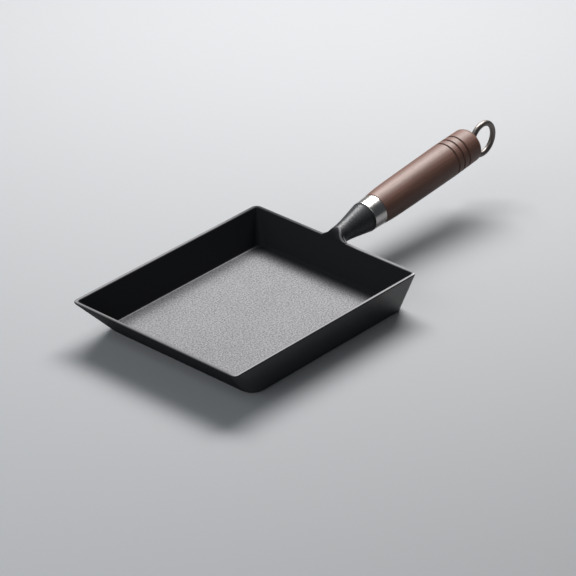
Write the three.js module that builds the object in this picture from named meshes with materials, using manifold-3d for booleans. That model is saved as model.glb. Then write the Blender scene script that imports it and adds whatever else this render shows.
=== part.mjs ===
// A rectangular frying pan: an iron casting with an integral neck, and a turned wooden grip that
// a steel eye bolt pulls against the neck through a ferrule.
// Millimetres, +Z up, +X along the handle. The origin is the centre of the base's underside.

import * as THREE from 'three';
import { mergeVertices } from 'three/addons/utils/BufferGeometryUtils.js';
import Module from 'manifold-3d';

const wasm = await Module();
wasm.setup();

// Tray
const rimLength = 187;
const rimWidth = 150;
const panHeight = 29.5;
const frontFlare = 27; // how far each wall leans out between the base and the rim
const handleFlare = 4.5;
const sideFlare = 8;
const floorThickness = 3.5;
const rimThickness = 2.6; // the walls, measured square through them
const footThickness = 4;
const baseFrontCornerRadius = 10;
const baseHandleCornerRadius = 8.6;
const rimFrontCornerRadius = 5;
const rimHandleCornerRadius = 4.6;
const innerFloorCornerRadius = 6;
const innerRimCornerRadius = 1.6;
const baseEdgeRadius = 1.6;
const rimEdgeRadius = 0.8;
const floorFillet = 2;

// Neck, measured along the handle axis from the rim's outer edge
const handleTilt = 6.45; // degrees
const axisAboveRim = 0.5;
const neckLength = 30.6;
const neckRootRadius = 6.6;
const neckWaistRadius = 7.5;
const neckWaistAt = 11;
const neckEndRadius = 11.2;
const neckEdgeRadius = 0.5;
const humpFillet = 11; // where the rim climbs onto the neck
const rootSlope = 10; // how far the neck's inner end slopes back above the rim
const rootRise = 9;
const gussetRadius = 12.5; // the neck's flare under the rim
const gussetLength = 9;
const spigotLength = 4.5;

// Ferrule
const ferruleLength = 11.4;
const ferruleRearRadius = 11.7;
const ferruleWall = 1.2;

// Wooden grip
const gripLength = 106.3; // behind the ferrule
const gripFrontRadius = 11.8;
const gripShoulderRadius = 12.75;
const gripShoulderAt = 18;
const gripBellyRadius = 13.35;
const gripEndRadius = 12.95;
const gripEndRounding = 4;
const grooveCount = 3;
const groovePitch = 6.15;
const grooveWidth = 1.7;
const lastGrooveFromEnd = 15.3;

// Eye bolt and washer
const wireDiameter = 4.2;
const threadDiameter = 5;
const threadEngagement = 8;
const threadChamfer = 0.6;
const tappedDepth = 13;
const ringRadius = 12.1; // to the middle of the wire
const ringDrop = 3.6; // ring centre below the handle axis
const bendRadius = 4;
const ringEndGap = 1.2; // between the tip of the wire and the bolt's own rod
const washerRadius = 6;
const washerThickness = 1.5;

// Clearances
const seatGap = 0.3; // between faces that seat on each other
const boreClearance = 0.35; // round the bolt, and round the washer in its counterbore

// Facets
const roundSides = 48;
const wireSides = 14;
const cornerSteps = 6;
const filletSteps = 5;
const curveSteps = 14;
const wireSteps = 100;

const baseLength = rimLength - frontFlare - handleFlare;
const baseHalfWidth = rimWidth / 2 - sideFlare;
const rimHandleX = baseLength / 2 + handleFlare;
const axisHeight = panHeight + axisAboveRim;
const tilt = THREE.MathUtils.degToRad(handleTilt);
const quarter = Math.PI / 2;

const handle = new THREE.Group();
handle.position.set(rimHandleX, 0, axisHeight);
handle.rotation.y = -tilt;
handle.updateMatrix();

// Closed geometry to a solid for joining and cutting.
function solid(geometry) {
  const bare = new THREE.BufferGeometry();
  bare.setAttribute('position', geometry.getAttribute('position'));
  bare.setIndex(geometry.getIndex());
  const merged = mergeVertices(bare);
  const index = Array.from(merged.getIndex().array);
  const triVerts = [];
  for (let i = 0; i < index.length; i += 3) {
    const [a, b, c] = index.slice(i, i + 3);
    if (a !== b && b !== c && c !== a) triVerts.push(a, b, c);
  }
  return new wasm.Manifold(new wasm.Mesh({
    numProp: 3,
    vertProperties: new Float32Array(merged.getAttribute('position').array),
    triVerts: new Uint32Array(triVerts),
  }));
}

function geometryOf(manifold) {
  const mesh = manifold.getMesh();
  const geometry = new THREE.BufferGeometry();
  geometry.setAttribute('position', new THREE.BufferAttribute(mesh.vertProperties, 3));
  geometry.setIndex(new THREE.BufferAttribute(mesh.triVerts, 1));
  geometry.computeVertexNormals();
  return geometry;
}

// A profile of (radius, distance along +X) points, turned about the X axis.
function turned(profile) {
  return new THREE.LatheGeometry(profile, roundSides).rotateZ(-quarter);
}

function point(radius, along) {
  return new THREE.Vector2(radius, along);
}

// The points of an arc in a (radius, along) profile, without its end points.
function arcPoints(centreRadius, centreAlong, radius, from, to, steps) {
  const points = [];
  for (let i = 1; i < steps; i += 1) {
    const angle = from + (to - from) * (i / steps);
    points.push(point(centreRadius + radius * Math.cos(angle), centreAlong + radius * Math.sin(angle)));
  }
  return points;
}

// How far a depth into a leaning wall reaches when it is measured level.
function level(depth, flare) {
  return depth * Math.hypot(flare / panHeight, 1);
}

// One level ring of the tray: the outer wall's outline at a height, moved inwards to a depth in the walls.
function wallRing(height, depth, frontRadius, handleRadius) {
  const rise = height / panHeight;
  const front = -baseLength / 2 - frontFlare * rise + level(depth, frontFlare) + frontRadius;
  const back = baseLength / 2 + handleFlare * rise - level(depth, handleFlare) - handleRadius;
  const side = baseHalfWidth + sideFlare * rise - level(depth, sideFlare);
  const frontSide = side - frontRadius;
  const backSide = side - handleRadius;
  const corners = [
    [back, backSide, handleRadius],
    [front, frontSide, frontRadius],
    [front, -frontSide, frontRadius],
    [back, -backSide, handleRadius],
  ];
  return corners.flatMap(([x, y, radius], turn) => {
    const arc = [];
    for (let i = 0; i <= cornerSteps; i += 1) {
      const angle = quarter * (turn + i / cornerSteps);
      const outX = x + radius * Math.cos(angle);
      const outY = y + radius * Math.sin(angle);
      arc.push(new THREE.Vector3(outX, outY, height));
    }
    return arc;
  });
}

// Rings of equal length, from the lowest up, skinned and closed with a flat fan at both ends.
function loft(rings) {
  const size = rings[0].length;
  const centre = (ring) => ring.reduce((sum, p) => sum.add(p), new THREE.Vector3()).divideScalar(size);
  const points = [...rings.flat(), centre(rings[0]), centre(rings.at(-1))];
  const low = rings.length * size;
  const high = low + 1;
  const index = [];
  for (let i = 0; i < size; i += 1) {
    const next = (i + 1) % size;
    index.push(low, next, i);
    for (let ring = 0; ring < rings.length - 1; ring += 1) {
      const a = ring * size;
      const b = a + size;
      index.push(a + i, a + next, b + next, a + i, b + next, b + i);
    }
    const top = (rings.length - 1) * size;
    index.push(high, top + i, top + next);
  }
  const geometry = new THREE.BufferGeometry().setFromPoints(points);
  geometry.setIndex(index);
  return geometry;
}

function quarterSteps(make, steps = filletSteps) {
  return Array.from({ length: steps + 1 }, (_, i) => make(quarter * (i / steps)));
}

// The tray's outside as a full block, with its base edge and rim edge rounded.
function trayBlock() {
  const ring = (height, inset) => {
    const rise = height / panHeight;
    const frontRadius = THREE.MathUtils.lerp(baseFrontCornerRadius, rimFrontCornerRadius, rise);
    const handleRadius = THREE.MathUtils.lerp(baseHandleCornerRadius, rimHandleCornerRadius, rise);
    return wallRing(height, inset, frontRadius, handleRadius);
  };
  const baseEdge = quarterSteps((angle) => {
    const height = baseEdgeRadius * (1 - Math.cos(angle));
    return ring(height, baseEdgeRadius * (1 - Math.sin(angle)));
  });
  const rimEdge = quarterSteps((angle) => {
    const height = panHeight - rimEdgeRadius * (1 - Math.sin(angle));
    return ring(height, rimEdgeRadius * (1 - Math.cos(angle)));
  });
  return loft([...baseEdge, ...rimEdge]);
}

// The cooking well. It carries on above the rim, where its handle side slopes back in a quarter of an
// ellipse, so that it also shapes the neck's inner end.
function cookingWell() {
  const lean = (height) => (height - floorThickness) / (panHeight - floorThickness);
  const ring = (height, inset) => {
    const wall = THREE.MathUtils.lerp(footThickness, rimThickness, lean(height));
    const radius = THREE.MathUtils.lerp(innerFloorCornerRadius, innerRimCornerRadius, lean(height));
    return wallRing(height, wall + inset, radius, radius);
  };
  const fillet = quarterSteps((angle) => {
    const height = floorThickness + floorFillet * (1 - Math.cos(angle));
    return ring(height, floorFillet * (1 - Math.sin(angle)));
  });
  const rimEdge = quarterSteps((angle) => {
    const height = panHeight - rimEdgeRadius * (1 - Math.sin(angle));
    return ring(height, -rimEdgeRadius * (1 - Math.cos(angle)));
  });
  const above = (height, slope) => {
    const upright = handleFlare * (height / panHeight - 1);
    const inset = rimThickness - rimEdgeRadius + upright - slope;
    return wallRing(height, inset, innerRimCornerRadius, innerRimCornerRadius);
  };
  const root = quarterSteps((angle) => {
    const height = panHeight + rootRise * Math.sin(angle);
    return above(height, rootSlope * (1 - Math.cos(angle)));
  }, curveSteps);
  const clearOfNeck = axisHeight + neckRootRadius + humpFillet;
  return loft([...fillet, ...rimEdge, ...root.slice(1), above(clearOfNeck, rootSlope)]);
}

// The hump where the rim climbs onto the neck, drawn across the handle and as deep as the rim.
function rimHump() {
  const rise = humpFillet - axisAboveRim;
  const reach = Math.sqrt((neckRootRadius + humpFillet) ** 2 - rise ** 2);
  const meet = Math.atan2(rise, reach);
  const filletHeight = panHeight + humpFillet;
  const shape = new THREE.Shape();
  shape.moveTo(-reach, panHeight - rimThickness);
  shape.lineTo(reach, panHeight - rimThickness);
  shape.lineTo(reach, panHeight);
  shape.absarc(reach, filletHeight, humpFillet, -quarter, meet - Math.PI, true);
  shape.absarc(0, axisHeight, neckRootRadius, meet, Math.PI - meet, false);
  shape.absarc(-reach, filletHeight, humpFillet, -meet, -quarter, true);
  const depth = 2 * rimThickness;
  const geometry = new THREE.ExtrudeGeometry(shape, { depth, bevelEnabled: false, curveSegments: curveSteps });
  const across = new THREE.Vector3(0, 1, 0);
  const up = new THREE.Vector3(0, 0, 1);
  const along = new THREE.Vector3(1, 0, 0);
  geometry.applyMatrix4(new THREE.Matrix4().makeBasis(across, up, along));
  return geometry.translate(rimHandleX - depth - rimEdgeRadius, 0, 0);
}

// The round neck from inside the wall to its spigot.
function neck() {
  const inside = -2 * footThickness;
  const body = new THREE.SplineCurve([
    point(neckRootRadius, 0),
    point(neckWaistRadius, neckWaistAt),
    point(neckEndRadius, neckLength - neckEdgeRadius),
  ]);
  const spigotEnd = neckLength + spigotLength;
  const spigotRadius = ferruleBore(neckLength + seatGap) - seatGap;
  return turned([
    point(0, inside),
    point(neckRootRadius, inside),
    ...body.getPoints(curveSteps),
    ...arcPoints(neckEndRadius - neckEdgeRadius, neckLength - neckEdgeRadius, neckEdgeRadius, 0, quarter, filletSteps),
    point(neckEndRadius - neckEdgeRadius, neckLength),
    point(spigotRadius, neckLength),
    point(spigotRadius, spigotEnd),
    point(0, spigotEnd),
  ]);
}

// The neck's flare against the outside of the wall.
function gusset() {
  const inside = -2 * footThickness;
  const flare = new THREE.QuadraticBezierCurve(
    point(gussetRadius, 0),
    point(neckRootRadius, 0),
    point(neckRootRadius, gussetLength),
  );
  const lowest = point(gussetRadius, inside);
  return turned([point(0, inside), lowest, ...flare.getPoints(curveSteps), point(0, gussetLength)]);
}

// The ferrule's bore at a distance along the handle axis.
function ferruleBore(along) {
  const share = (along - neckLength - seatGap) / ferruleLength;
  return THREE.MathUtils.lerp(neckEndRadius, ferruleRearRadius, share) - ferruleWall;
}

function panCasting() {
  const belowRim = new THREE.BoxGeometry(rimLength, rimWidth, panHeight).translate(rimHandleX, 0, panHeight / 2);
  const spigotEnd = neckLength + spigotLength;
  const hole = turned([
    point(0, spigotEnd - tappedDepth),
    point(threadDiameter / 2 + boreClearance, spigotEnd - tappedDepth),
    point(threadDiameter / 2 + boreClearance, spigotEnd + seatGap),
    point(0, spigotEnd + seatGap),
  ]);
  const flare = solid(gusset().applyMatrix4(handle.matrix)).intersect(solid(belowRim));
  const body = solid(trayBlock())
    .add(solid(neck().applyMatrix4(handle.matrix)))
    .add(solid(rimHump()))
    .add(flare)
    .subtract(solid(cookingWell()))
    .subtract(solid(hole.applyMatrix4(handle.matrix)));
  return geometryOf(body);
}

const ferruleFront = neckLength + seatGap;
const ferruleRear = ferruleFront + ferruleLength;
const gripFront = ferruleRear + seatGap;
const gripEnd = gripFront + gripLength;
const tenonFront = neckLength + spigotLength + seatGap;
const washerRear = gripEnd;
const washerFront = washerRear - washerThickness;
const gripBore = threadDiameter / 2 + boreClearance;

function ferrule() {
  return turned([
    point(ferruleBore(ferruleFront), ferruleFront),
    point(neckEndRadius, ferruleFront),
    point(ferruleRearRadius, ferruleRear),
    point(ferruleBore(ferruleRear), ferruleRear),
    point(ferruleBore(ferruleFront), ferruleFront),
  ]);
}

// The grip: a tenon in the ferrule, a swelling body, round-bottomed grooves, and a rounded end
// with a counterbore for the washer.
function woodGrip() {
  const lastGroove = gripEnd - lastGrooveFromEnd;
  const grooves = Array.from({ length: grooveCount }, (_, i) => lastGroove - groovePitch * (grooveCount - 1 - i));
  const bellyAt = grooves[0] - grooveWidth;
  const landRadius = (along) => {
    const share = (along - bellyAt) / (gripEnd - gripEndRounding - bellyAt);
    return THREE.MathUtils.lerp(gripBellyRadius, gripEndRadius, share);
  };
  const body = new THREE.SplineCurve([
    point(gripFrontRadius, gripFront),
    point(gripShoulderRadius, gripFront + gripShoulderAt),
    point(gripBellyRadius, bellyAt),
  ]);
  const half = grooveWidth / 2;
  const cuts = grooves.flatMap((at) => [
    point(landRadius(at - half), at - half),
    ...arcPoints(landRadius(at), at, half, -quarter, -3 * quarter, filletSteps + 1),
    point(landRadius(at + half), at + half),
  ]);
  const roundingFrom = gripEnd - gripEndRounding;
  const roundingCentre = gripEndRadius - gripEndRounding;
  return turned([
    point(gripBore, tenonFront),
    point(ferruleBore(tenonFront) - seatGap, tenonFront),
    point(ferruleBore(ferruleRear) - seatGap, ferruleRear),
    point(ferruleBore(ferruleRear) - seatGap, gripFront),
    ...body.getPoints(curveSteps),
    ...cuts,
    point(gripEndRadius, roundingFrom),
    ...arcPoints(roundingCentre, roundingFrom, gripEndRounding, 0, quarter, filletSteps + 1),
    point(roundingCentre, gripEnd),
    point(washerRadius + boreClearance, gripEnd),
    point(washerRadius + boreClearance, washerFront - seatGap),
    point(gripBore, washerFront - seatGap),
    point(gripBore, tenonFront),
  ]);
}

// The wire's route: along the handle axis, up round the bend, and clockwise round the ring.
class FlatRoute extends THREE.Curve {
  constructor(path) {
    super();
    this.path = path;
  }

  getPoint(share, target = new THREE.Vector3()) {
    const flat = this.path.getPoint(share);
    return target.set(flat.x, 0, flat.y);
  }
}

function eyeBolt() {
  const threadEnd = neckLength + spigotLength - threadEngagement;
  const ringCentre = washerRear + seatGap + wireDiameter / 2 + ringRadius;
  const lift = bendRadius + ringDrop;
  const span = Math.sqrt((ringRadius + bendRadius) ** 2 - lift ** 2);
  const join = Math.atan2(lift, span);
  const tipDrop = ringDrop - wireDiameter - ringEndGap;
  const tip = Math.PI + Math.asin(-tipDrop / ringRadius);
  const path = new THREE.Path();
  path.moveTo(threadEnd + threadEngagement / 2, 0);
  path.lineTo(ringCentre - span, 0);
  path.absarc(ringCentre - span, bendRadius, bendRadius, -quarter, -join, false);
  path.absarc(ringCentre, -ringDrop, ringRadius, Math.PI - join, tip - 2 * Math.PI, true);
  const section = new THREE.Shape().absarc(0, 0, wireDiameter / 2, 0, 2 * Math.PI);
  const wire = new THREE.ExtrudeGeometry(section, {
    steps: wireSteps,
    extrudePath: new FlatRoute(path),
    curveSegments: wireSides / 2,
  });
  const thread = turned([
    point(0, threadEnd),
    point(threadDiameter / 2 - threadChamfer, threadEnd),
    point(threadDiameter / 2, threadEnd + threadChamfer),
    point(threadDiameter / 2, threadEnd + threadEngagement),
    point(0, threadEnd + threadEngagement),
  ]);
  return geometryOf(solid(wire).add(solid(thread)));
}

function endWasher() {
  return turned([
    point(gripBore, washerFront),
    point(washerRadius, washerFront),
    point(washerRadius, washerRear),
    point(gripBore, washerRear),
    point(gripBore, washerFront),
  ]);
}

const castIron = new THREE.MeshStandardMaterial({ color: 0x1b1b1d, roughness: 0.55, metalness: 0.4 });
const polishedSteel = new THREE.MeshStandardMaterial({ color: 0xc9c7c4, roughness: 0.18, metalness: 1 });
const ringSteel = new THREE.MeshStandardMaterial({ color: 0x9b948d, roughness: 0.25, metalness: 1 });
const walnut = new THREE.MeshStandardMaterial({ color: 0x6b483c, roughness: 0.5, metalness: 0 });

function node(name, geometry, material) {
  const mesh = new THREE.Mesh(geometry, material);
  mesh.name = name;
  return mesh;
}

const pan = new THREE.Group();
pan.add(node('pan_casting', panCasting(), castIron));
handle.add(node('ferrule', ferrule(), polishedSteel));
handle.add(node('wood_grip', woodGrip(), walnut));
handle.add(node('eye_bolt', eyeBolt(), ringSteel));
handle.add(node('end_washer', endWasher(), ringSteel));
pan.add(handle);

export default pan;
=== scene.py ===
# %% [markdown]
# # A rectangular frying pan
# The real pan is one iron casting: a shallow tray with leaning walls, and a neck that grows out of
# one of them. A turned walnut grip sits behind the neck, a polished ferrule covers the joint, and a
# single steel wire pulls the stack tight. It is threaded at its front end and bent into a hanging
# ring at its rear end.
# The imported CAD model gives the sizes, the places and the joint. This lesson models a finer mesh for
# each of its pieces and gives each one its finish.

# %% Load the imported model
import math
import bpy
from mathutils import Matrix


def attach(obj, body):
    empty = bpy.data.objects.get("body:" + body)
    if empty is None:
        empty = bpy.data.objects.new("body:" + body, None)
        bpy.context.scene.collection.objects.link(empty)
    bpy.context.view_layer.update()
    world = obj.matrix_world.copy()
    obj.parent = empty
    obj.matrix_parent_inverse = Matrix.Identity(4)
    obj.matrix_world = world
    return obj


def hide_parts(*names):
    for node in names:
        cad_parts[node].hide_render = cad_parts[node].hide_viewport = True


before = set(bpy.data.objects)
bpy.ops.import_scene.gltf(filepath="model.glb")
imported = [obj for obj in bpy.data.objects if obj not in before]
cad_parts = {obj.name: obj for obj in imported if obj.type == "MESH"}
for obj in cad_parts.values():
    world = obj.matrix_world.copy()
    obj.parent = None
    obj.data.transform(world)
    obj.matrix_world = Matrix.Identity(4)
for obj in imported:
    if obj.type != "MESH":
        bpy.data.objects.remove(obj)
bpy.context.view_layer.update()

from types import SimpleNamespace

import bmesh
import bpy
from mathutils import Vector
from mathutils.geometry import interpolate_bezier

MM = 0.001
print("CAD nodes:", sorted(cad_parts))

# %% [markdown]
# ## The camera
# The photograph is a long-lens product shot, so its lines hardly converge. A camera more than two
# metres away with a long lens gives the same calm perspective. Its place is worked out from the point
# that it looks at, its azimuth, its elevation and its distance, because those four read more easily
# than a bare position.

# %% Place the camera
AIM = Vector((17.12, -13.26, 21.76)) * MM
AZIMUTH = math.radians(-48.36)
ELEVATION = math.radians(29.65)
DISTANCE = 2259.3 * MM
LENS = 206.25

ground_share = math.cos(ELEVATION)
towards_camera = Vector((
    math.sin(AZIMUTH) * ground_share,
    -math.cos(AZIMUTH) * ground_share,
    math.sin(ELEVATION),
))
bpy.ops.object.camera_add(
    location=AIM + DISTANCE * towards_camera,
    rotation=(math.pi / 2 - ELEVATION, 0, AZIMUTH),
)
camera = bpy.context.object
camera.data.lens = LENS
bpy.context.scene.camera = camera
print("Camera at", tuple(round(c, 3) for c in camera.location))

# %% [markdown]
# ## Floor and light
# A product table is lit by one long softbox above the far side of the object. It whitens the top of
# the ferrule, draws a soft stripe along the grip, and leaves the inside of the handle-side wall in the
# dark, which is how the deep well reads in the photograph. A weaker and slightly cooler softbox in
# front of the pan lifts the outer walls and the shaded half of the handle, and the world adds a little
# fill from all round. The Standard view keeps the colours as they are, where the default view would
# flatten the contrast.

# %% Lay the floor and hang the softboxes
FLOOR_SIZE = 8
FLOOR_GAP = 0.1 * MM
FLOOR_COLOUR = (0.19, 0.192, 0.196, 1)
FLOOR_ROUGHNESS = 0.9
LIGHT_DISTANCE = 1.1
KEY_DIRECTION = Vector((0.52, 0.39, 0.765)).normalized()
KEY_LENGTH = 0.95
KEY_DEPTH = 0.42
KEY_POWER = 40
KEY_COLOUR = (1, 1, 1)
FILL_DIRECTION = Vector((-0.85, 0.05, 0.5)).normalized()
FILL_SIZE = 1.2
FILL_POWER = 14
FILL_COLOUR = (0.92, 0.97, 1)
WORLD_COLOUR = (0.078, 0.088, 0.098, 1)


def hang_softbox(direction, length, depth, power, colour):
    """A soft rectangular light that looks at the pan from a direction."""
    bpy.ops.object.light_add(type="AREA", location=AIM + LIGHT_DISTANCE * direction)
    softbox = bpy.context.object
    softbox.rotation_euler = direction.to_track_quat("Z", "Y").to_euler()
    softbox.data.shape = "RECTANGLE"
    softbox.data.size = length
    softbox.data.size_y = depth
    softbox.data.energy = power
    softbox.data.color = colour


bpy.ops.mesh.primitive_plane_add(size=FLOOR_SIZE, location=(0, 0, -FLOOR_GAP))
table_top = bpy.context.object
table_top.name = "table_top"
table_finish = bpy.data.materials.new("matt_table")
table_finish.use_nodes = True
table_sockets = table_finish.node_tree.nodes["Principled BSDF"].inputs
table_sockets["Base Color"].default_value = FLOOR_COLOUR
table_sockets["Roughness"].default_value = FLOOR_ROUGHNESS
table_top.data.materials.append(table_finish)

hang_softbox(KEY_DIRECTION, KEY_LENGTH, KEY_DEPTH, KEY_POWER, KEY_COLOUR)
hang_softbox(FILL_DIRECTION, FILL_SIZE, FILL_SIZE, FILL_POWER, FILL_COLOUR)

studio = bpy.data.worlds.new("studio")
studio.use_nodes = True
studio.node_tree.nodes["Background"].inputs["Color"].default_value = WORLD_COLOUR
bpy.context.scene.world = studio
bpy.context.scene.view_settings.view_transform = "Standard"
print("Softboxes of", KEY_LENGTH, "by", KEY_DEPTH, "m and of", FILL_SIZE, "by", FILL_SIZE, "m")

# %% [markdown]
# ## Writing shaders as sums
# A finish is a network of small nodes. Dragging wires by hand is clear for five nodes and hopeless for
# fifty, so one class wraps an output socket and lets Python's own operators add the Math nodes. The
# node method adds any other node: first its settings, then the values or wires of its sockets.

# %% A wire between shader nodes
class Wire:
    """An output socket of a material's nodes that can stand in Python expressions."""

    def __init__(self, tree, socket=None):
        self.tree = tree
        self.socket = socket

    def node(self, kind, settings, sockets, output=0):
        made = self.tree.nodes.new(kind)
        for name, value in settings.items():
            setattr(made, name, value)
        for name, value in sockets.items():
            if isinstance(value, Wire):
                self.tree.links.new(value.socket, made.inputs[name])
            else:
                made.inputs[name].default_value = value
        return Wire(self.tree, made.outputs[output])

    def math(self, operation, first, second):
        return self.node("ShaderNodeMath", {"operation": operation}, {0: first, 1: second})

    def __add__(self, other):
        return self.math("ADD", self, other)

    def __sub__(self, other):
        return self.math("SUBTRACT", self, other)

    def __rsub__(self, other):
        return self.math("SUBTRACT", other, self)

    def __mul__(self, other):
        return self.math("MULTIPLY", self, other)

    def __abs__(self):
        return self.math("ABSOLUTE", self, 0)

    __radd__ = __add__
    __rmul__ = __mul__

    def least(self, other):
        return self.math("MINIMUM", self, other)

    def most(self, other):
        return self.math("MAXIMUM", self, other)

    def ease(self, low, high):
        """A soft step: 0 up to low, 1 from high."""
        settings = {"interpolation_type": "SMOOTHSTEP"}
        sockets = {"Value": self, "From Min": low, "From Max": high}
        return self.node("ShaderNodeMapRange", settings, sockets)

    def step(self, limits, start=0):
        """A soft step between two limits in millimetres, which are counted from a start."""
        low, high = limits
        return self.ease((start + low) * MM, (start + high) * MM)

    def noise(self, size, detail=2, roughness=0.5):
        """Cloudy noise over this wire's coordinates, with lumps of about the given size."""
        sockets = {"Vector": self, "Scale": 1 / size, "Detail": detail, "Roughness": roughness}
        return self.node("ShaderNodeTexNoise", {}, sockets)

    def part(self, axis):
        return self.node("ShaderNodeSeparateXYZ", {}, {"Vector": self}, axis)

    def blend(self, first, second):
        """From the first colour to the second, as this wire goes from 0 to 1."""
        return self.node("ShaderNodeMix", {"data_type": "RGBA"}, {0: self, 6: first, 7: second}, 2)

    def bump(self, depth, strength):
        sockets = {"Height": self, "Distance": depth, "Strength": strength}
        return self.node("ShaderNodeBump", {}, sockets, "Normal")


def new_finish(name):
    """A material, its shader's sockets, and the wire of its object coordinates."""
    material = bpy.data.materials.new(name)
    material.use_nodes = True
    tree = material.node_tree
    place = Wire(tree).node("ShaderNodeTexCoord", {}, {}, "Object")
    return material, tree.nodes["Principled BSDF"].inputs, place


def feed(sockets, **wires):
    """Join wires to a shader's sockets, which are named with _ for each space."""
    for name, wire in wires.items():
        wire.tree.links.new(wire.socket, sockets[name.replace("_", " ")])


print("Shader wires are ready")

# %% [markdown]
# ## Seasoned iron
# Bare castings come out of the sand with a fine grain and are baked black with oil. Walls and neck keep
# that black skin, and use wears it off in some places. Some places are also given painted light: a sheen
# on the floor, highlights on the rim and its edges, and shade and shadow beside the walls. A mask could
# be painted by hand, but object coordinates and the direction that a face looks are enough to tell
# floor, rim and neck apart. So the first cell measures where a point lies, and each kind of wear and of
# painted light is a product of soft steps over those measures. Limits of a step are pairs, in
# millimetres where they are lengths.

# %% Measure where a point lies
PAN_HEIGHT = 29.5
FLOOR_THICKNESS = 3.5
RIM_HANDLE_X = 82.25
RIM_FRONT_X = 104.75
RIM_WIDTH = 150
AXIS_HEIGHT = 30.0
HANDLE_TILT = math.radians(6.45)
HANDLE_ROOT = Vector((RIM_HANDLE_X, 0, AXIS_HEIGHT)) * MM


def along_handle(place, stretch):
    """Coordinates along, across and above the handle, shrunk along it by the stretch."""
    settings = {"vector_type": "TEXTURE"}
    sockets = {"Location": HANDLE_ROOT, "Rotation": (0, -HANDLE_TILT, 0), "Scale": (stretch, 1, 1)}
    return place.node("ShaderNodeMapping", settings, {"Vector": place, **sockets})


def measure(place):
    """Wires for where a point lies on the pan, how its face looks and how sharply it bends there."""
    normal = place.node("ShaderNodeTexCoord", {}, {}, "Normal")
    return SimpleNamespace(
        along=place.part("X"),
        across=place.part("Y"),
        height=place.part("Z"),
        reach=along_handle(place, 1).part("X"),
        upward=normal.part("Z"),
        sideways=abs(normal.part("Y")),
        bend=place.node("ShaderNodeNewGeometry", {}, {}, "Pointiness"),
    )


print("The handle starts at", tuple(round(c, 4) for c in HANDLE_ROOT))

# %% [markdown]
# ### Scoured floor and its painted light
# Turners scour the floor to a pebbled grey, and part of its brightness is a painted sheen. A thin
# painted highlight runs along the foot of the walls. The strip along the handle's wall stays black as a
# painted shadow of that wall.

# %% Find the scoured floor and its painted light
FLOOR_WEAR_AND_SHEEN_ENDS = (0.4, 2.2)
FOOT_LINE_STARTS = (0.4, 0.7)
FOOT_LINE_ENDS = (0.9, 1.2)
# The floor's light colour fades out between these places along the pan, as a painted shadow of the handle's
# wall.
HANDLE_WALL_SHADOW = (55, 73.5)
FLAT = (0.70, 0.85)
HOLLOW = (0.2, 0.5)


def floor_wear_and_painted_light(spot):
    """The worn floor with its painted sheen and shadow, and the painted highlight along the walls' foot."""
    # The floor's light colour stops before the handle's wall, as a painted shadow of that wall.
    unshadowed = 1 - spot.along.step(HANDLE_WALL_SHADOW)
    low = 1 - spot.height.step(FLOOR_WEAR_AND_SHEEN_ENDS, FLOOR_THICKNESS)
    floor = low * spot.upward.ease(*FLAT) * unshadowed
    # A thin painted highlight along the foot of the walls.
    started = spot.height.step(FOOT_LINE_STARTS, FLOOR_THICKNESS)
    ended = spot.height.step(FOOT_LINE_ENDS, FLOOR_THICKNESS)
    foot = started * (1 - ended) * spot.upward.ease(*HOLLOW) * unshadowed
    return floor, foot


# The fade is the painted shadow of the handle's wall.
print("The scoured floor fades out from", HANDLE_WALL_SHADOW[0], "to", HANDLE_WALL_SHADOW[1], "mm from the middle")

# %% [markdown]
# ### Rubbed and highlit edges
# Cloths and hands rub the rim, and a thin painted highlight runs along it. The highlight is painted
# brighter on the near side and beside the neck, and it fades in the opposite corner. The edge at the
# neck's root gets a painted highlight too. Pointiness, which Blender takes from the bend of the mesh,
# finds that edge.

# %% Find the rubbed and highlit edges
RIM_STARTS = (-0.7, -0.2)
RIM_ENDS = (0.2, 0.8)
RIM_LINE_STARTS = (0.3, 1.0)
RIM_LINE_ENDS = (1.9, 2.3)
LINE_END_LOSS = 0.5
FRONT_SPREAD = 0.35
FAR_ALONG = (35, RIM_HANDLE_X)
FAR_ACROSS = (5, 60)
FAR_LOSS = 0.7
# The rim's painted highlight is brighter beside the neck and on the near side.
BESIDE_NECK_ALONG = (74, 79)
BESIDE_NECK_ACROSS = (-24, -9)
NEAR_SIDE = (-72, -66)
NEAR_SIDE_SHARE = 0.25
NEARLY_LEVEL = (0.6, 0.95)
LEANING = (0.15, 0.5)
SHARP_BEND = (0.501, 0.514)
ROOT_ENDS = (8, 11)
ROOT_SIDE = (-4, 0)
ROOT_STRENGTH = 1.6


def rubbed_and_highlit_rim(spot, neck):
    """Where the painted highlight runs along the rubbed rim, and where it is brightest."""
    inset = (RIM_WIDTH / 2 * MM - abs(spot.across)).least((spot.along + RIM_FRONT_X * MM) * FRONT_SPREAD)
    # The light line along the rim is a rubbed edge and a painted highlight.
    line = inset.step(RIM_LINE_STARTS) * (1 - LINE_END_LOSS * inset.step(RIM_LINE_ENDS))
    far = spot.along.step(FAR_ALONG) * spot.across.step(FAR_ACROSS)
    beside_neck = spot.along.step(BESIDE_NECK_ALONG) * (1 - spot.across.step(BESIDE_NECK_ACROSS))
    bare_and_highlit = beside_neck.most(NEAR_SIDE_SHARE * (1 - spot.across.step(NEAR_SIDE)))
    turned_up = spot.upward.ease(*NEARLY_LEVEL).most(bare_and_highlit * spot.upward.ease(*LEANING))
    top = spot.height.step(RIM_STARTS, PAN_HEIGHT) * (1 - spot.height.step(RIM_ENDS, PAN_HEIGHT))
    rim = line * (1 - FAR_LOSS * far) * (1 - neck * (1 - bare_and_highlit)) * top * turned_up
    return rim, bare_and_highlit


def root_edge_highlight(spot):
    """Where the painted highlight lies on the edge at the neck's root."""
    # A painted highlight on the sharp edge at the neck's root.
    edge = spot.bend.ease(*SHARP_BEND) * spot.height.step(RIM_ENDS, PAN_HEIGHT)
    return ROOT_STRENGTH * edge * (1 - spot.reach.step(ROOT_ENDS)) * (1 - spot.across.step(ROOT_SIDE))


print("The light line starts", RIM_LINE_STARTS[0], "mm inside the rim")
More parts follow.
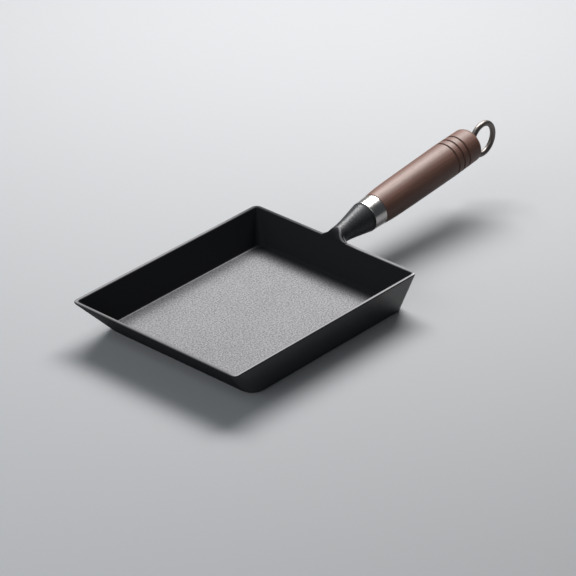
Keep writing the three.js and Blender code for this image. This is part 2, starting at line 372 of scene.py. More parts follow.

# %% [markdown]
# ### The whole iron
# The masks now choose between the iron's colours. A fine noise is the cast grain, which speckles the
# worn floor and its painted sheen and roughens it, and a slow one makes the wear and the sheen uneven.
# A painted shade darkens the floor along the side walls. A thin coat gives the gloss of baked oil to the
# outer walls and, weaker and speckled, to the sanded neck, and dies away at the ferrule.

# %% Choose the iron's colours
SKIN = (0.0098, 0.0101, 0.0110, 1)
SANDED = (0.016, 0.0165, 0.018, 1)
# The floor's light grey is wear and a painted sheen.
WORN_WITH_SHEEN = (0.180, 0.175, 0.180, 1)
# A painted highlight at the foot of the walls.
FOOT_HIGHLIGHT = (0.2, 0.195, 0.2, 1)
# The rim's colours are a rubbed edge and a painted highlight.
RUBBED_AND_HIGHLIT = (0.105, 0.102, 0.105, 1)
BARE_AND_HIGHLIT = (0.26, 0.255, 0.26, 1)
SANDING_STARTS = (4, 10)
# Painted shade along the side walls, measured across the pan.
SIDE_WALL_SHADE = (52, 63)
SIDE_WALL_SHADE_LOSS = 0.3
EVEN_WEAR_AND_SHEEN = 0.3
SPECKLED_WEAR_AND_SHEEN = 0.65
CLOUDED_WEAR_AND_SHEEN = 0.15
EVEN_RUB_AND_HIGHLIGHT = 0.75
CLOUDED_RUB_AND_HIGHLIGHT = 0.25


def iron_colour(spot, floor, foot, rim, bare_and_highlit, speckle, cloud):
    # Painted shade darkens the floor near the side walls.
    side_wall_shade = abs(spot.across).step(SIDE_WALL_SHADE)
    wear_and_sheen = EVEN_WEAR_AND_SHEEN + SPECKLED_WEAR_AND_SHEEN * speckle + CLOUDED_WEAR_AND_SHEEN * cloud
    # The worn floor's light colour is partly a painted sheen.
    worn_and_sheen = wear_and_sheen * floor * (1 - SIDE_WALL_SHADE_LOSS * side_wall_shade)
    skin = spot.reach.step(SANDING_STARTS).blend(SKIN, SANDED)
    # The line at the foot of the walls is a painted highlight.
    skin = foot.blend(worn_and_sheen.blend(skin, WORN_WITH_SHEEN), FOOT_HIGHLIGHT)
    # The rim and the neck's root edge get a painted highlight, and the rim is also rubbed.
    rubbed_and_highlit = (rim + root_edge_highlight(spot)) * (EVEN_RUB_AND_HIGHLIGHT + CLOUDED_RUB_AND_HIGHLIGHT * cloud)
    return rubbed_and_highlit.blend(skin, bare_and_highlit.blend(RUBBED_AND_HIGHLIT, BARE_AND_HIGHLIT))


print("The iron goes from", SKIN[0], "to", BARE_AND_HIGHLIT[0], "in brightness")

# %% Gloss the outer walls and the neck
NECK_LENGTH = 30.6
JOINT_SHADE = (-3, -1)
JOINT_LOSS = 0.8
NECK_GLOSS = 0.2
SPECKLED_GLOSS = 0.34
WALL_GLOSS = 0.9
OUTER_FACE = (-0.1, 0.1)


def iron_gloss(spot, neck, speckle):
    joint = spot.reach.step(JOINT_SHADE, NECK_LENGTH)
    neck_gloss = neck * (NECK_GLOSS + SPECKLED_GLOSS * speckle) * (1 - JOINT_LOSS * joint)
    wall_gloss = WALL_GLOSS * (1 - spot.upward.ease(*OUTER_FACE)) * spot.sideways
    return neck_gloss + (1 - neck) * wall_gloss


print("Gloss of the walls:", WALL_GLOSS)

# %% Mix the iron
NECK_STARTS = (-0.5, 0.5)
GRAIN_SIZE = 1.2
GRAIN_DETAIL = 3
GRAIN_ROUGHNESS = 0.65
GRAIN_DEPTH = 0.3
GRAIN_STRENGTH = 0.6
SKIN_RELIEF = 0.1
FLOOR_RELIEF = 0.9
NECK_RELIEF = 0.4
SPECKLE = (0.3, 0.7)
CLOUD_SIZE = 35
NOISE_MIDDLE = 0.5
IRON_ROUGHNESS = 0.6
FLOOR_ROUGHENING = 0.05
RIM_POLISH = 0.1
GRAIN_ROUGHENING = 0.1
IRON_SPECULAR = 0.03
WORN_METAL = 0.2
COAT_ROUGHNESS = 0.36


def seasoned_iron():
    material, sockets, place = new_finish("seasoned_iron")
    spot = measure(place)
    neck = spot.along.step(NECK_STARTS, RIM_HANDLE_X)
    floor, foot = floor_wear_and_painted_light(spot)
    rim, bare_and_highlit = rubbed_and_highlit_rim(spot, neck)
    grain = place.noise(GRAIN_SIZE * MM, GRAIN_DETAIL, GRAIN_ROUGHNESS)
    speckle = grain.ease(*SPECKLE)
    cloud = place.noise(CLOUD_SIZE * MM)
    roughness = IRON_ROUGHNESS + FLOOR_ROUGHENING * floor - RIM_POLISH * rim
    relief = grain * (SKIN_RELIEF + FLOOR_RELIEF * floor + NECK_RELIEF * neck)
    feed(
        sockets,
        Base_Color=iron_colour(spot, floor, foot, rim, bare_and_highlit, speckle, cloud),
        Roughness=roughness + GRAIN_ROUGHENING * (grain - NOISE_MIDDLE),
        Metallic=WORN_METAL * (floor + rim),
        Coat_Weight=iron_gloss(spot, neck, speckle),
        Normal=relief.bump(GRAIN_DEPTH * MM, GRAIN_STRENGTH),
    )
    sockets["Specular IOR Level"].default_value = IRON_SPECULAR
    sockets["Coat Roughness"].default_value = COAT_ROUGHNESS
    return material


iron = seasoned_iron()
print("Nodes in the iron:", len(iron.node_tree.nodes))

# %% [markdown]
# ## Polished and drawn steel
# The ferrule was polished in a lathe, so the finest scratches run round it. The hanging ring is drawn
# wire, a little duller and warmer. Both are plain metal, and almost all of their look is what they
# mirror, so only the roughness and a faint relief change over the surface. The scratches follow the
# handle's own line, which a Mapping node finds by undoing the handle's tilt.

# %% Mix the steels
FERRULE_COLOUR = (0.41, 0.39, 0.378, 1)
FERRULE_ROUGHNESS = 0.25
FERRULE_STRETCH = 0.02
FERRULE_SCRATCH = 10
WIRE_COLOUR = (0.13, 0.116, 0.107, 1)
WIRE_ROUGHNESS = 0.45
WIRE_STRETCH = 4
WIRE_SCRATCH = 6
SMEAR_SIZE = 6
STEEL_UNEVENNESS = 0.08
SCRATCH_DETAIL = 3
SCRATCH_DEPTH = 0.01
SCRATCH_STRENGTH = 0.3


def steel(name, colour, roughness, stretch, scratch):
    material, sockets, place = new_finish(name)
    lines = along_handle(place, stretch).noise(scratch * MM, SCRATCH_DETAIL)
    smear = place.noise(SMEAR_SIZE * MM)
    sockets["Base Color"].default_value = colour
    sockets["Metallic"].default_value = 1
    feed(
        sockets,
        Roughness=roughness + STEEL_UNEVENNESS * (lines + smear - 2 * NOISE_MIDDLE),
        Normal=lines.bump(SCRATCH_DEPTH * MM, SCRATCH_STRENGTH),
    )
    return material


ferrule_steel = steel(
    "polished_ferrule", FERRULE_COLOUR, FERRULE_ROUGHNESS, FERRULE_STRETCH, FERRULE_SCRATCH
)
wire_steel = steel("drawn_wire", WIRE_COLOUR, WIRE_ROUGHNESS, WIRE_STRETCH, WIRE_SCRATCH)
print("Steels:", ferrule_steel.name, wire_steel.name)

# %% [markdown]
# ## Oiled walnut
# Walnut is a cool brown with long fine fibres, short dark pores and slow bands of lighter wood. All of
# them run along the grip, so one noise after another is stretched in that direction. On the end of the
# grip the same noise is cut across and shows as dots, as real end grain does. The turner's chisel
# scorched the grooves slightly, and they are found by their distance along the handle. The oil's warm
# satin sheen is a tint of the mirrored light.

# %% Lay out the grip and its grooves
SEAT_GAP = 0.3
FERRULE_LENGTH = 11.4
FERRULE_FRONT = NECK_LENGTH + SEAT_GAP
FERRULE_REAR = FERRULE_FRONT + FERRULE_LENGTH
GRIP_LENGTH = 106.3
GRIP_FRONT = FERRULE_REAR + SEAT_GAP
GRIP_END = GRIP_FRONT + GRIP_LENGTH
LAST_GROOVE_FROM_END = 15.3
GROOVE_PITCH = 6.15
GROOVE_WIDTH = 1.7
GROOVE_COUNT = 3
LAST_GROOVE = GRIP_END - LAST_GROOVE_FROM_END
GROOVES = [LAST_GROOVE - GROOVE_PITCH * before for before in reversed(range(GROOVE_COUNT))]
print("Grooves at", [round(groove, 2) for groove in GROOVES], "mm along the handle")

# %% Mix the walnut
HEARTWOOD = (0.050, 0.0232, 0.0168, 1)
PALE_WOOD = (0.098, 0.0455, 0.033, 1)
PORE = (0.028, 0.012, 0.008, 1)
SCORCHED = (0.026, 0.010, 0.006, 1)
SHEEN = (1, 0.9, 0.84, 1)
BAND_SIZE = 9
BAND_STRETCH = 9
BAND_SHARE = 0.55
FIBRE_SIZE = 0.9
FIBRE_STRETCH = 30
FIBRE_DETAIL = 3
FIBRE_ROUGHNESS = 0.6
FIBRE_DEPTH = 0.05
FIBRE_STRENGTH = 0.5
PORE_SIZE = 0.55
PORE_STRETCH = 14
PORE_DETAIL = 1
PORE_LIMITS = (0.62, 0.78)
PORE_DARKENING = 0.5
PORE_HOLLOW = 0.6
TONE_LIMITS = (0.25, 0.75)
SCORCHING = 0.25
SCORCH_CORE = 0.15
SCORCH = (SCORCH_CORE * GROOVE_WIDTH, GROOVE_WIDTH / 2)
WOOD_ROUGHNESS = 0.5
FIBRE_ROUGHENING = 0.12
PORE_ROUGHENING = 0.15
WOOD_SPECULAR = 0.33


def oiled_walnut():
    material, sockets, place = new_finish("oiled_walnut")
    along = along_handle(place, 1).part("X")
    bands = along_handle(place, BAND_STRETCH).noise(BAND_SIZE * MM)
    fibres = along_handle(place, FIBRE_STRETCH).noise(FIBRE_SIZE * MM, FIBRE_DETAIL, FIBRE_ROUGHNESS)
    pores = along_handle(place, PORE_STRETCH).noise(PORE_SIZE * MM, PORE_DETAIL).ease(*PORE_LIMITS)
    tone = BAND_SHARE * bands.ease(*TONE_LIMITS) + (1 - BAND_SHARE) * fibres.ease(*TONE_LIMITS)
    wood = (PORE_DARKENING * pores).blend(tone.blend(HEARTWOOD, PALE_WOOD), PORE)
    scorched = 0
    for groove in GROOVES:
        scorched = scorched + (1 - abs(along - groove * MM).step(SCORCH))
    feed(
        sockets,
        Base_Color=(SCORCHING * scorched).blend(wood, SCORCHED),
        Roughness=WOOD_ROUGHNESS + FIBRE_ROUGHENING * (fibres - NOISE_MIDDLE) + PORE_ROUGHENING * pores,
        Normal=(fibres - PORE_HOLLOW * pores).bump(FIBRE_DEPTH * MM, FIBRE_STRENGTH),
    )
    sockets["Specular IOR Level"].default_value = WOOD_SPECULAR
    sockets["Specular Tint"].default_value = SHEEN
    return material


walnut = oiled_walnut()
print("Nodes in the walnut:", len(walnut.node_tree.nodes))

# %% [markdown]
# ## The tray
# A pattern maker would carve the tray from a block. In Blender the quickest block is one flat face: a
# plane with its corners rounded by a vertex bevel. Extruding that face ring by ring carries it up the
# outside, over the rim and down into the well. At each ring the four corners are moved and resized by
# themselves, because each wall leans by its own amount and the corners tighten towards the rim.

# %% Sizes and corner arcs of the tray
RIM_LENGTH = RIM_FRONT_X + RIM_HANDLE_X
FRONT_FLARE = 27
HANDLE_FLARE = 4.5
SIDE_FLARE = 8
RIM_THICKNESS = 2.6
FOOT_THICKNESS = 4
FRONT_END = -1
HANDLE_END = 1
FLARES = {FRONT_END: FRONT_FLARE, HANDLE_END: HANDLE_FLARE}
BASE_CORNERS = {FRONT_END: 10, HANDLE_END: 8.6}
RIM_CORNERS = {FRONT_END: 5, HANDLE_END: 4.6}
WELL_FLOOR_CORNER = 6
WELL_RIM_CORNER = 1.6
BASE_EDGE = 1.6
RIM_EDGE = 0.8
FLOOR_FILLET = 2
BASE_LENGTH = RIM_LENGTH - FRONT_FLARE - HANDLE_FLARE
CORNER_STEPS = 10
FILLET_STEPS = 6


def lerp(start, end, share):
    return start + (end - start) * share


def level(depth, lean):
    """How far a depth into a leaning wall reaches when it is measured level."""
    return depth * math.hypot(lean / PAN_HEIGHT, 1)


def outline(height, depth, corners):
    """The corner arcs at a height and a depth in the walls: (centre, radius) by the signs of x and y."""
    rise = height / PAN_HEIGHT
    arcs = {}
    for end, radius in corners.items():
        x = end * (BASE_LENGTH / 2 + FLARES[end] * rise - level(depth, FLARES[end]) - radius)
        y = RIM_WIDTH / 2 - SIDE_FLARE * (1 - rise) - level(depth, SIDE_FLARE) - radius
        for side in (-1, 1):
            arcs[end, side] = (Vector((x, side * y, height)) * MM, radius * MM)
    return arcs


def outside(height, depth):
    rise = height / PAN_HEIGHT
    corners = {end: lerp(BASE_CORNERS[end], RIM_CORNERS[end], rise) for end in FLARES}
    return outline(height, depth, corners)


def inside(height, depth):
    lean = (height - FLOOR_THICKNESS) / (PAN_HEIGHT - FLOOR_THICKNESS)
    wall = lerp(FOOT_THICKNESS, RIM_THICKNESS, lean)
    radius = lerp(WELL_FLOOR_CORNER, WELL_RIM_CORNER, lean)
    return outline(height, wall + depth, {end: radius for end in FLARES})


def quarter(steps):
    """Pairs of (1 - cosine, 1 - sine) over a quarter turn, which round an edge."""
    angles = [math.pi / 2 * step / steps for step in range(steps + 1)]
    return [(1 - math.cos(angle), 1 - math.sin(angle)) for angle in angles]


def tray_levels():
    rounding = quarter(FILLET_STEPS)
    base_edge = [outside(BASE_EDGE * up, BASE_EDGE * inward) for up, inward in rounding]
    outer_edge = [outside(PAN_HEIGHT - RIM_EDGE * down, RIM_EDGE * inward) for inward, down in rounding]
    inner_edge = [inside(PAN_HEIGHT - RIM_EDGE * down, -RIM_EDGE * inward) for inward, down in rounding]
    fillet = [inside(FLOOR_THICKNESS + FLOOR_FILLET * up, FLOOR_FILLET * inward) for up, inward in rounding]
    return base_edge + outer_edge + inner_edge[::-1] + fillet[::-1]


print("Levels from the base to the floor of the well:", len(tray_levels()))

# %% Extrude the tray
MERGE_DISTANCE = 0.001


def start_piece(name):
    """A new one-millimetre plane, alone in the selection and open for editing."""
    bpy.ops.object.select_all(action="DESELECT")
    bpy.ops.mesh.primitive_plane_add(size=MM)
    piece = bpy.context.object
    piece.name = name
    piece.data.name = name
    bpy.ops.object.mode_set(mode="EDIT")
    bpy.ops.mesh.select_mode(type="VERT")
    return piece


def picked(piece):
    """The numbers of the selected vertices."""
    cage = bmesh.from_edit_mesh(piece.data)
    cage.verts.index_update()
    return {vertex.index for vertex in cage.verts if vertex.select}


def pick(piece, wanted):
    """Select the vertices of the piece that a test wants, and no others."""
    cage = bmesh.from_edit_mesh(piece.data)
    for vertex in cage.verts:
        vertex.select_set(wanted(vertex))
    cage.select_flush(True)
    cage.select_flush_mode()
    bmesh.update_edit_mesh(piece.data)


def close_mesh():
    """Merge doubles, turn every face outwards and leave edit mode."""
    bpy.ops.mesh.select_all(action="SELECT")
    bpy.ops.mesh.remove_doubles(threshold=MERGE_DISTANCE * MM)
    bpy.ops.mesh.normals_make_consistent(inside=False)
    bpy.ops.object.mode_set(mode="OBJECT")


def in_corner(vertex, end, side):
    return vertex.co.x * end > 0 and vertex.co.y * side > 0


def move_corners(piece, arcs, new_arcs):
    """Carry the selected face's corner arcs to their next centres and radii."""
    cap = picked(piece)
    for (end, side), (centre, radius) in arcs.items():
        new_centre, new_radius = new_arcs[end, side]
        pick(piece, lambda v: v.index in cap and in_corner(v, end, side))
        growth = new_radius / radius
        bpy.ops.transform.resize(value=(growth, growth, 1), center_override=centre)
        bpy.ops.transform.translate(value=new_centre - centre)
    pick(piece, lambda v: v.index in cap)


def extrude_tray():
    piece = start_piece("iron_pan")
    levels = tray_levels()
    for (end, side), (centre, radius) in levels[0].items():
        corner = centre + Vector((end * radius, side * radius, 0))
        pick(piece, lambda v: in_corner(v, end, side))
        bpy.ops.transform.translate(value=corner - Vector((end, side, 0)) * MM / 2)
    for end in FLARES:
        pick(piece, lambda v: v.co.x * end > 0 and abs(v.co.y) > 0)
        offset = levels[0][end, 1][1]
        bpy.ops.mesh.bevel(offset=offset, segments=CORNER_STEPS, affect="VERTICES", clamp_overlap=False)
    bpy.ops.mesh.select_all(action="SELECT")
    for arcs, new_arcs in zip(levels, levels[1:]):
        bpy.ops.mesh.extrude_region_move()
        move_corners(piece, arcs, new_arcs)
    close_mesh()
    return piece


iron_pan = extrude_tray()
print("Tray faces:", len(iron_pan.data.polygons))

# %% [markdown]
# ## The neck
# The neck is round, so it is drawn as half an outline and spun about its axis, as on a lathe. That one
# helper also makes the ferrule, the grip and the washer. The neck grows out of the wall with a wide
# flare below the rim and two small wings on the rim itself. A Displace modifier pushes the plain spun
# tube out to that flare, as far as the weight of each vertex says. A Boolean with a curved block then
# cuts the tube's inner end, level with the well's wall below and sloping back to the neck above. Its
# edges are rounded as clay would be: remeshed into small even faces and smoothed. Another Boolean joins
# neck and tray.

# %% Spin an outline about the handle's axis
ROUND_STEPS = 96
CURVE_PULL = 6


def point(along, radius):
    return Vector((along, radius)) * MM


def smooth_line(points, steps):
    """Points on a smooth curve through the given few, each pulled along by its two neighbours."""
    ends = [points[0], *points, points[-1]]
    line = [points[0]]
    for before, start, end, after in zip(ends, ends[1:], ends[2:], ends[3:]):
        leave = start + (end - before) / CURVE_PULL
        arrive = end - (after - start) / CURVE_PULL
        line += interpolate_bezier(start, leave, arrive, end, steps + 1)[1:]
    return line


def arc(along, radius, bend, turn_from, turn_to, steps):
    """Points of an arc about (along, radius). Turns are in quarters, from outwards towards the rear."""
    points = []
    for step in range(steps + 1):
        angle = math.pi / 2 * lerp(turn_from, turn_to, step / steps)
        points.append(point(along + bend * math.sin(angle), radius + bend * math.cos(angle)))
    return points


def draw_line(name, points):
    """A new piece that is only a line in the plane of X and Z, selected and open for editing."""
    piece = start_piece(name)
    bpy.ops.mesh.merge(type="CENTER")
    bpy.ops.transform.translate(value=(points[0].x, 0, points[0].y))
    for here, there in zip(points, points[1:]):
        step = there - here
        bpy.ops.mesh.extrude_vertices_move(TRANSFORM_OT_translate={"value": (step.x, 0, step.y)})
    bpy.ops.mesh.select_all(action="SELECT")
    return piece


def spin_piece(name, profile):
    """Draw a profile of (along, radius) points, spin it, and set it on the handle."""
    piece = draw_line(name, profile)
    bpy.ops.mesh.spin(steps=ROUND_STEPS, angle=math.tau, center=(0, 0, 0), axis=(1, 0, 0))
    close_mesh()
    set_on_handle(piece)
    return piece


def set_on_handle(piece):
    """Turn a piece that lies along X onto the handle's line, and keep that place in its mesh."""
    piece.rotation_euler.y = -HANDLE_TILT
    piece.location = HANDLE_ROOT
    bpy.ops.object.transform_apply(location=True, rotation=True, scale=True)


print("A spun piece has", ROUND_STEPS, "sides")

# %% Spin the neck
NECK_INNER_END = -3 * FOOT_THICKNESS
NECK_ROOT = 6.6
NECK_WAIST = 7.5
NECK_WAIST_AT = 11
NECK_END = 11.2
NECK_EDGE = 0.5
SPIGOT_LENGTH = 4.5
SPIGOT_END = NECK_LENGTH + SPIGOT_LENGTH
TAPPED_DEPTH = 13
THREAD_RADIUS = 2.5
THREAD_CLEARANCE = 0.35
BORE = THREAD_RADIUS + THREAD_CLEARANCE
FERRULE_REAR_RADIUS = 11.7
FERRULE_WALL = 1.2
BODY_STEPS = 24
ROOT_STEPS = 40


def ferrule_bore(along):
    return lerp(NECK_END, FERRULE_REAR_RADIUS, (along - FERRULE_FRONT) / FERRULE_LENGTH) - FERRULE_WALL


def spin_neck():
    spigot = ferrule_bore(FERRULE_FRONT) - SEAT_GAP
    body = [
        point(0, NECK_ROOT),
        point(NECK_WAIST_AT, NECK_WAIST),
        point(NECK_LENGTH - NECK_EDGE, NECK_END),
    ]
    return spin_piece("neck", [
        point(NECK_INNER_END, 0),
        *(point(lerp(NECK_INNER_END, 0, step / ROOT_STEPS), NECK_ROOT) for step in range(ROOT_STEPS)),
        *smooth_line(body, BODY_STEPS),
        *arc(NECK_LENGTH - NECK_EDGE, NECK_END - NECK_EDGE, NECK_EDGE, 0, 1, FILLET_STEPS)[1:],
        point(NECK_LENGTH, spigot),
        point(SPIGOT_END, spigot),
        point(SPIGOT_END, BORE),
        point(SPIGOT_END - TAPPED_DEPTH, BORE),
        point(SPIGOT_END - TAPPED_DEPTH, 0),
    ])


neck = spin_neck()
print("Neck vertices:", len(neck.data.vertices))

# %% Flare the neck's root
GUSSET_RADIUS = 12.5
GUSSET_LENGTH = 9
GUSSET_FADE = 0.45
WING_FILLET = 11
WING_RISE = WING_FILLET - (AXIS_HEIGHT - PAN_HEIGHT)
WING_CENTRE = Vector((math.sqrt((NECK_ROOT + WING_FILLET) ** 2 - WING_RISE ** 2), WING_RISE))


def wing_reach(ray):
    """Where a ray from the axis meets the fillet between the rim and the neck."""
    nearest = WING_CENTRE.dot(ray)
    return nearest - math.sqrt(nearest ** 2 - WING_CENTRE.length_squared + WING_FILLET ** 2)


def root_reach(ray):
    """How far the root reaches from the axis along a ray: neck on top, wings at the rim, flare below."""
    if ray.y < 0:
        return lerp(wing_reach(Vector((1, 0))), GUSSET_RADIUS, min(-ray.y / GUSSET_FADE, 1))
    if ray.y > WING_CENTRE.normalized().y:
        return NECK_ROOT
    return wing_reach(ray)


def flare(place):
    """How far the flare stands out of the plain tube at a point, all in millimetres."""
    axis = AXIS_HEIGHT + (place.x - RIM_HANDLE_X) * math.tan(HANDLE_TILT)
    spoke = Vector((abs(place.y), place.z - axis))
    foot = axis + spoke.y * GUSSET_RADIUS / NECK_ROOT
    outer_wall = BASE_LENGTH / 2 + HANDLE_FLARE * foot / PAN_HEIGHT
    clear = max((place.x - outer_wall) / GUSSET_LENGTH, 0)
    if clear > 1 or spoke.length < NECK_ROOT / 2:
        return 0
    return (root_reach(spoke.normalized()) - NECK_ROOT) * (1 - math.sqrt(clear)) ** 2


def apply_modifier(piece, kind, **settings):
    """Add a modifier to the active piece, set it and apply it."""
    bpy.ops.object.modifier_add(type=kind)
    modifier = piece.modifiers[-1]
    for name, value in settings.items():
        setattr(modifier, name, value)
    bpy.ops.object.modifier_apply(modifier=modifier.name)


def weigh(piece, name, weight):
    """A vertex group with the weight that a function of the place in millimetres gives."""
    group = piece.vertex_groups.new(name=name)
    for vertex in piece.data.vertices:
        group.add([vertex.index], weight(vertex.co / MM), "REPLACE")
    return group.name


most = GUSSET_RADIUS - NECK_ROOT
flared = weigh(neck, "flare", lambda place: flare(place) / most)
apply_modifier(neck, "DISPLACE", strength=most * MM, mid_level=0, vertex_group=flared)
print("Flare reaches", GUSSET_RADIUS, "mm from the axis")

# %% Cut and smooth the neck's inner end
ROOT_SLOPE = 10
ROOT_RISE = 9
WELL_LEAN = HANDLE_FLARE / PAN_HEIGHT + (FOOT_THICKNESS - RIM_THICKNESS) / (PAN_HEIGHT - FLOOR_THICKNESS)
CUT_DEPTH = 0.1
CUT_SIZE = 24
CURVE_STEPS = 16
VOXEL = 0.35
SMOOTH_ROUNDS = 14
SMOOTH_LENGTH = 10
SMOOTH_FACTOR = 0.5


def curved_block():
    """A block with the slant of the well's wall below the rim, and a quarter of an ellipse above it."""
    rim_x = RIM_HANDLE_X - RIM_THICKNESS + CUT_DEPTH
    foot = point(rim_x - CUT_SIZE * WELL_LEAN, PAN_HEIGHT - CUT_SIZE)
    curve = [
        point(rim_x + ROOT_SLOPE * back, PAN_HEIGHT + ROOT_RISE * (1 - down))
        for back, down in quarter(CURVE_STEPS)
    ]
    top = curve[-1] + point(0, CUT_SIZE)
    front = point(2 * CUT_SIZE, 0)
    piece = draw_line("cutter", [foot, *curve, top, top - front, foot - front, foot])
    bpy.ops.mesh.remove_doubles(threshold=MERGE_DISTANCE * MM)
    bpy.ops.mesh.edge_face_add()
    bpy.ops.transform.translate(value=(0, -CUT_SIZE * MM, 0))
    bpy.ops.mesh.extrude_region_move(TRANSFORM_OT_translate={"value": (0, 2 * CUT_SIZE * MM, 0)})
    close_mesh()
    return piece


def combine(piece, other, operation):
    """Cut the other piece out of this one or join it on, and delete it."""
    bpy.ops.object.select_all(action="DESELECT")
    piece.select_set(True)
    bpy.context.view_layer.objects.active = piece
    apply_modifier(piece, "BOOLEAN", operation=operation, object=other, solver="MANIFOLD")
    bpy.data.objects.remove(other)


def near_well(place):
    """1 at the well, fading to 0 along the neck."""
    return min(max((RIM_HANDLE_X + SMOOTH_LENGTH - place.x) / SMOOTH_LENGTH, 0), 1)


combine(neck, curved_block(), "DIFFERENCE")
apply_modifier(neck, "REMESH", mode="VOXEL", voxel_size=VOXEL * MM)
inner = weigh(neck, "inner", near_well)
apply_modifier(neck, "SMOOTH", factor=SMOOTH_FACTOR, iterations=SMOOTH_ROUNDS, vertex_group=inner)
print("Neck faces:", len(neck.data.polygons))

# %% Join the neck to the tray
SMOOTH_ANGLE = math.radians(38)


def even_shading(piece):
    """Let large flat faces keep their own shading next to small rounded ones."""
    bpy.ops.object.shade_smooth_by_angle(angle=SMOOTH_ANGLE)
    apply_modifier(piece, "WEIGHTED_NORMAL", keep_sharp=True)


def hand_over(piece, finish, body, node):
    """Shade a finished piece, give it its material and its body, and hide the CAD node that it stands for.
    """
    even_shading(piece)
    piece.data.materials.clear()
    piece.data.materials.append(finish)
    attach(piece, body)
    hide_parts(node)
    print(piece.name, "has", len(piece.data.polygons), "faces")


combine(iron_pan, neck, "UNION")
hand_over(iron_pan, iron, "pan", "pan_casting")

# %% [markdown]
# ## The ferrule
# The ferrule is a short tapered tube of polished steel. Its outline is a thin leaning rectangle with
# its two outer edges rounded, spun in one go. The small gaps at its ends are the dark lines that part
# it from iron and wood.

# %% Spin the ferrule
FERRULE_EDGE = 0.35


def spin_ferrule():
    front = FERRULE_FRONT + FERRULE_EDGE
    rear = FERRULE_REAR - FERRULE_EDGE
    bore_front = point(FERRULE_FRONT, ferrule_bore(FERRULE_FRONT))
    return spin_piece("steel_ferrule", [
        bore_front,
        *arc(front, NECK_END - FERRULE_EDGE, FERRULE_EDGE, -1, 0, FILLET_STEPS),
        *arc(rear, FERRULE_REAR_RADIUS - FERRULE_EDGE, FERRULE_EDGE, 0, 1, FILLET_STEPS),
        point(FERRULE_REAR, ferrule_bore(FERRULE_REAR)),
        bore_front,
    ])


steel_ferrule = spin_ferrule()
hand_over(steel_ferrule, ferrule_steel, "pan", "ferrule")

# %% [markdown]
# ## The grip
# A turner shapes the grip from a square stick: a tenon that slips into the ferrule, a slow swelling
# that fills the hand, three grooves cut with the point of a chisel, and a rounded end with a seat for
# the washer. The whole outline is one line from the bore round to the bore again, so the spin makes a
# closed solid with its hole in it.

# %% Spin the grip
GRIP_FRONT_RADIUS = 11.8
GRIP_SHOULDER = 12.75
GRIP_SHOULDER_AT = 18
GRIP_BELLY = 13.35
GRIP_END_RADIUS = 12.95
GRIP_ROUNDING = 4
GRIP_FRONT_EDGE = 0.4
WASHER_RADIUS = 6
WASHER_THICKNESS = 1.5
WASHER_CLEARANCE = 0.35
SEAT_RADIUS = WASHER_RADIUS + WASHER_CLEARANCE
SEAT_FLOOR = GRIP_END - WASHER_THICKNESS - SEAT_GAP
ROUNDING_FROM = GRIP_END - GRIP_ROUNDING
BELLY_AT = GROOVES[0] - GROOVE_WIDTH


def land_radius(along):
    """The wood's radius between the grooves, which narrows towards the end."""
    return lerp(GRIP_BELLY, GRIP_END_RADIUS, (along - BELLY_AT) / (ROUNDING_FROM - BELLY_AT))


def groove_cut(at):
    return arc(at, land_radius(at), GROOVE_WIDTH / 2, -1, -3, 2 * FILLET_STEPS)


def spin_grip():
    tenon_front = SPIGOT_END + SEAT_GAP
    body = [
        point(GRIP_FRONT + GRIP_FRONT_EDGE, GRIP_FRONT_RADIUS),
        point(GRIP_FRONT + GRIP_SHOULDER_AT, GRIP_SHOULDER),
        point(BELLY_AT, GRIP_BELLY),
    ]
    bore_front = point(tenon_front, BORE)
    return spin_piece("walnut_grip", [
        bore_front,
        point(tenon_front, ferrule_bore(tenon_front) - SEAT_GAP),
        point(FERRULE_REAR, ferrule_bore(FERRULE_REAR) - SEAT_GAP),
        point(GRIP_FRONT, ferrule_bore(FERRULE_REAR) - SEAT_GAP),
        point(GRIP_FRONT, GRIP_FRONT_RADIUS - GRIP_FRONT_EDGE),
        *smooth_line(body, BODY_STEPS),
        *(cut for groove in GROOVES for cut in groove_cut(groove)),
        *arc(ROUNDING_FROM, GRIP_END_RADIUS - GRIP_ROUNDING, GRIP_ROUNDING, 0, 1, 2 * FILLET_STEPS),
        point(GRIP_END, SEAT_RADIUS),
        point(SEAT_FLOOR, SEAT_RADIUS),
        point(SEAT_FLOOR, BORE),
        bore_front,
    ])


walnut_grip = spin_grip()
hand_over(walnut_grip, walnut, "pan", "wood_grip")

# %% [markdown]
# ## The eye bolt
# The bolt is one wire. A bar of it is threaded at the front, runs through the bore of the grip, turns up
# in a short bend behind the washer and goes nearly a full round to make the ring. A face that is
# extruded along the bar and then spun twice, about the bend's centre and about the ring's centre,
# follows the same path as the wire in a bending jig.

# %% Extrude and bend the wire
WIRE_RADIUS = 2.1
THREAD_ENGAGEMENT = 8
THREAD_CHAMFER = 0.6
THREAD_END = SPIGOT_END - THREAD_ENGAGEMENT
RING_RADIUS = 12.1
RING_DROP = 3.6
BEND_RADIUS = 4
RING_END_GAP = 1.2
WIRE_SIDES = 32
BEND_STEPS = 12
RING_STEPS = 96
TIP_EDGE = 0.5
RING_CENTRE = GRIP_END + SEAT_GAP + WIRE_RADIUS + RING_RADIUS
BEND_LIFT = BEND_RADIUS + RING_DROP
BEND_SPAN = math.sqrt((RING_RADIUS + BEND_RADIUS) ** 2 - BEND_LIFT ** 2)
BEND_JOIN = math.atan2(BEND_LIFT, BEND_SPAN)
TIP_ANGLE = math.pi + math.asin((2 * WIRE_RADIUS + RING_END_GAP - RING_DROP) / RING_RADIUS)


def draw_out(length, radius_from, radius_to):
    """Extrude the wire's end along the bar, then change its radius."""
    bpy.ops.mesh.extrude_region_move(TRANSFORM_OT_translate={"value": (length * MM, 0, 0)})
    growth = radius_to / radius_from
    bpy.ops.transform.resize(value=(1, growth, growth))


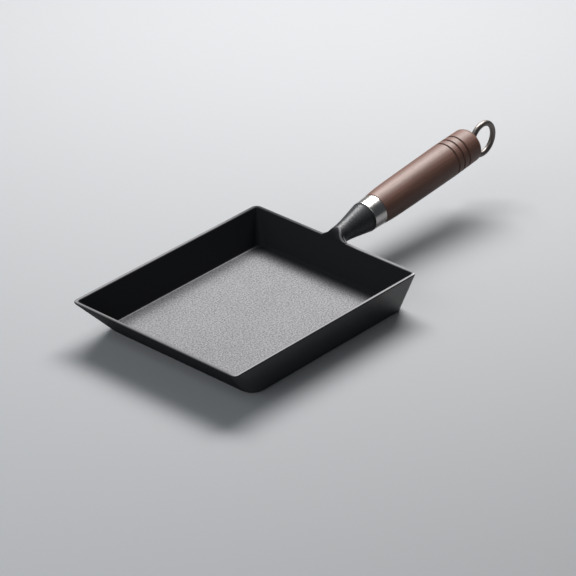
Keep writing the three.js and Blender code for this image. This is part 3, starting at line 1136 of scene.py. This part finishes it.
def bend_wire():
    bpy.ops.object.select_all(action="DESELECT")
    bpy.ops.mesh.primitive_circle_add(
        vertices=WIRE_SIDES,
        radius=(THREAD_RADIUS - THREAD_CHAMFER) * MM,
        fill_type="NGON",
        location=(THREAD_END * MM, 0, 0),
        rotation=(0, math.pi / 2, 0),
    )
    piece = bpy.context.object
    piece.name = "hanging_eye_bolt"
    piece.data.name = piece.name
    bpy.ops.object.transform_apply(location=True, rotation=True, scale=True)
    bpy.ops.object.mode_set(mode="EDIT")
    draw_out(THREAD_CHAMFER, THREAD_RADIUS - THREAD_CHAMFER, THREAD_RADIUS)
    draw_out(THREAD_ENGAGEMENT - THREAD_CHAMFER, THREAD_RADIUS, THREAD_RADIUS)
    draw_out(THREAD_RADIUS - WIRE_RADIUS, THREAD_RADIUS, WIRE_RADIUS)
    bar_end = RING_CENTRE - BEND_SPAN
    draw_out(bar_end - SPIGOT_END - THREAD_RADIUS + WIRE_RADIUS, WIRE_RADIUS, WIRE_RADIUS)
    bpy.ops.mesh.spin(
        steps=BEND_STEPS,
        angle=math.pi / 2 - BEND_JOIN,
        center=Vector((bar_end, 0, BEND_RADIUS)) * MM,
        axis=(0, 1, 0),
    )
    bpy.ops.mesh.spin(
        steps=RING_STEPS,
        angle=3 * math.pi - BEND_JOIN - TIP_ANGLE,
        center=Vector((RING_CENTRE, 0, -RING_DROP)) * MM,
        axis=(0, -1, 0),
    )
    bpy.ops.mesh.bevel(offset=TIP_EDGE * MM, segments=FILLET_STEPS, affect="EDGES")
    close_mesh()
    set_on_handle(piece)
    return piece


hanging_eye_bolt = bend_wire()
hand_over(hanging_eye_bolt, wire_steel, "eye_bolt", "eye_bolt")

# %% [markdown]
# ## The washer
# A plain washer lies in the end of the grip so that the turning bend doesn't chew the wood. It is
# punched from sheet, which leaves its edges slightly rounded.

# %% Spin the washer
WASHER_EDGE = 0.25


def spin_washer():
    front = GRIP_END - WASHER_THICKNESS
    bore_front = point(front, BORE)
    return spin_piece("steel_washer", [
        bore_front,
        *arc(front + WASHER_EDGE, WASHER_RADIUS - WASHER_EDGE, WASHER_EDGE, -1, 0, FILLET_STEPS),
        *arc(GRIP_END - WASHER_EDGE, WASHER_RADIUS - WASHER_EDGE, WASHER_EDGE, 0, 1, FILLET_STEPS),
        point(GRIP_END, BORE),
        bore_front,
    ])


steel_washer = spin_washer()
hand_over(steel_washer, wire_steel, "washer", "end_washer")
